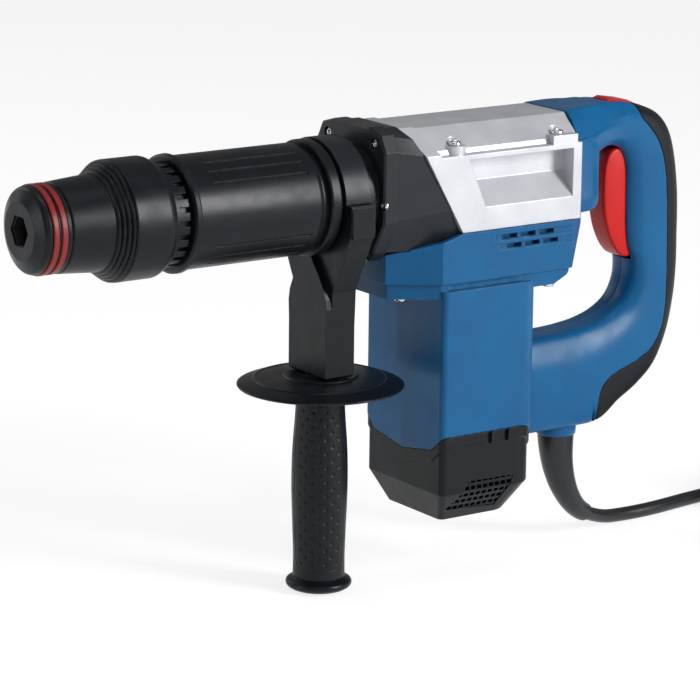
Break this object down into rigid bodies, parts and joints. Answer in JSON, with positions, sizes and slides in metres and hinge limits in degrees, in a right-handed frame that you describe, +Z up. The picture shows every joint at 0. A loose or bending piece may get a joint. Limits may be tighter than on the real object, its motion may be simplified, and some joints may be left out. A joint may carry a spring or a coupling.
{
  "type": "electric demolition hammer",
  "caption": "Corded electric demolition hammer with a hexagon tool socket, swivelling side handle and a D-shaped rear handle with trigger, standing on its side grip beside its coiled lead.",
  "frame": {"origin": "on the ground under the middle of the tool's length and width, without its mains lead", "axes": "+X from the nose to the rear handle, +Y to the tool's right-hand side, +Z up, across the barrel"},
  "size_m": [0.6711, 0.1684, 0.2895],
  "materials": {
    "socket_steel": "dark phosphated hardened steel, satin",
    "hard_steel": "ground and oiled machine steel",
    "screws": "bright zinc plated",
    "nose_rubber": "dark red, smooth",
    "black_plastic": "fine grain, satin",
    "case_black": "dark satin paint on a die casting",
    "cover_silver": "silver grey satin paint on a die casting",
    "alloy": "plain cast aluminium",
    "seal_rubber": "smooth",
    "blue_plastic": "blue, fine grain, satin",
    "grip_rubber": "soft dark grip, fine grain",
    "red_plastic": "bright red satin",
    "laminations": "stacked electrical steel",
    "copper": "copper, varnished",
    "carbon": "pressed carbon",
    "cord_rubber": "smooth black mains lead",
    "tie": "dark strap",
    "pins": "nickel plated brass"
  },
  "bodies": {
    "housing": {"hammer_tube": "hard_steel", "detent_ring": "black_plastic", "barrel_sleeve": "black_plastic", "barrel_ring": "black_plastic", "front_flange": "case_black", "flange_screws": "screws", "crank_bearings": "hard_steel", "crank_carrier": "alloy", "gear_plate": "alloy", "motor_bearings": "hard_steel", "stator_core": "laminations", "field_windings": "copper", "carbon_brushes": "carbon", "brush_holders": "black_plastic", "gear_case": "case_black", "gear_cover": "cover_silver", "motor_housing": "blue_plastic", "housing_screws": "screws", "motor_cap": "black_plastic", "handle_left": "blue_plastic", "handle_right": "blue_plastic", "handle_screws": "screws", "handle_overmould": "grip_rubber", "switch_module": "black_plastic", "strain_relief": "cord_rubber", "cord_tube": "cord_rubber", "cord_tail": "cord_rubber", "cord_coil": "cord_rubber", "coil_tie": "tie", "plug_body": "cord_rubber", "plug_pins": "pins"},
    "nose": {"tool_holder": "socket_steel", "nose_cap": "black_plastic", "nose_rings": "nose_rubber", "lock_spring": "hard_steel"},
    "lock_sleeve": {"locking_sleeve": "black_plastic", "ridged_collar": "black_plastic", "adjusting_ring": "black_plastic"},
    "lock_roller": {"lock_roller": "hard_steel"},
    "impact_bolt": {"impact_bolt": "hard_steel"},
    "striker": {"striker": "hard_steel", "striker_seal": "seal_rubber"},
    "piston": {"piston": "hard_steel", "piston_seal": "seal_rubber", "wrist_pin": "hard_steel"},
    "armature": {"armature_shaft": "hard_steel", "armature_core": "laminations", "commutator": "copper", "cooling_fan": "black_plastic"},
    "crank": {"crank_shaft": "hard_steel", "crank_gear": "hard_steel"},
    "connecting_rod": {"connecting_rod": "hard_steel"},
    "side_handle": {"clamp_band": "case_black", "yoke": "black_plastic", "clamp_bolt": "hard_steel"},
    "side_grip": {"guard_disc": "black_plastic", "side_grip": "grip_rubber", "grip_end_cap": "black_plastic"},
    "trigger": {"trigger": "red_plastic"},
    "lock_button": {"lock_button": "red_plastic"}
  },
  "joints": [
    {"name": "nose_turn", "type": "hinge", "parent": "housing", "child": "nose", "pos_m": [-0.19, 0, 0.247], "axis": [1, 0, 0], "continuous": true},
    {"name": "lock_sleeve_slide", "type": "slide", "parent": "nose", "child": "lock_sleeve", "axis": [1, 0, 0], "range_m": [0, 0.008], "stiffness_N_per_m": 1500, "springref_m": -0.012},
    {"name": "lock_roller_drop", "type": "slide", "parent": "nose", "child": "lock_roller", "axis": [0, 0, 1], "range_m": [0, 0.003]},
    {"name": "impact_bolt_slide", "type": "slide", "parent": "housing", "child": "impact_bolt", "axis": [1, 0, 0], "range_m": [0, 0.006]},
    {"name": "striker_slide", "type": "slide", "parent": "housing", "child": "striker", "axis": [1, 0, 0], "range_m": [-0.0035, 0.014]},
    {"name": "piston_slide", "type": "slide", "parent": "housing", "child": "piston", "axis": [1, 0, 0], "range_m": [0, 0.022]},
    {"name": "armature_spin", "type": "hinge", "parent": "housing", "child": "armature", "pos_m": [0.068, 0, 0.147], "axis": [0, 0, 1], "continuous": true},
    {"name": "crank_spin", "type": "hinge", "parent": "housing", "child": "crank", "pos_m": [0.0374, 0, 0.217], "axis": [0, 0, 1], "continuous": true},
    {"name": "connecting_rod_swing", "type": "hinge", "parent": "crank", "child": "connecting_rod", "pos_m": [0.0264, 0, 0.247], "axis": [0, 0, 1], "continuous": true},
    {"name": "side_handle_turn", "type": "hinge", "parent": "housing", "child": "side_handle", "pos_m": [-0.032, 0, 0.247], "axis": [1, 0, 0], "continuous": true},
    {"name": "side_grip_turn", "type": "hinge", "parent": "side_handle", "child": "side_grip", "pos_m": [-0.032, 0, 0.067], "axis": [0, 0, 1], "range_deg": [0, 360]},
    {"name": "trigger_press", "type": "hinge", "parent": "housing", "child": "trigger", "pos_m": [0.204, 0, 0.189], "axis": [0, 1, 0], "range_deg": [0, 6.5], "stiffness_Nm_per_rad": 1.5, "springref_deg": -14.32},
    {"name": "lock_button_press", "type": "slide", "parent": "housing", "child": "lock_button", "axis": [0, 0, -1], "range_m": [0, 0.003], "stiffness_N_per_m": 600, "springref_m": -0.004}
  ],
  "couplings": [
    {"joint": "lock_roller_drop", "follows": "lock_sleeve_slide", "ratio": 0.375},
    {"joint": "crank_spin", "follows": "armature_spin", "ratio": -0.13333},
    {"joint": "connecting_rod_swing", "follows": "armature_spin", "ratio": 0.13333}
  ]
}
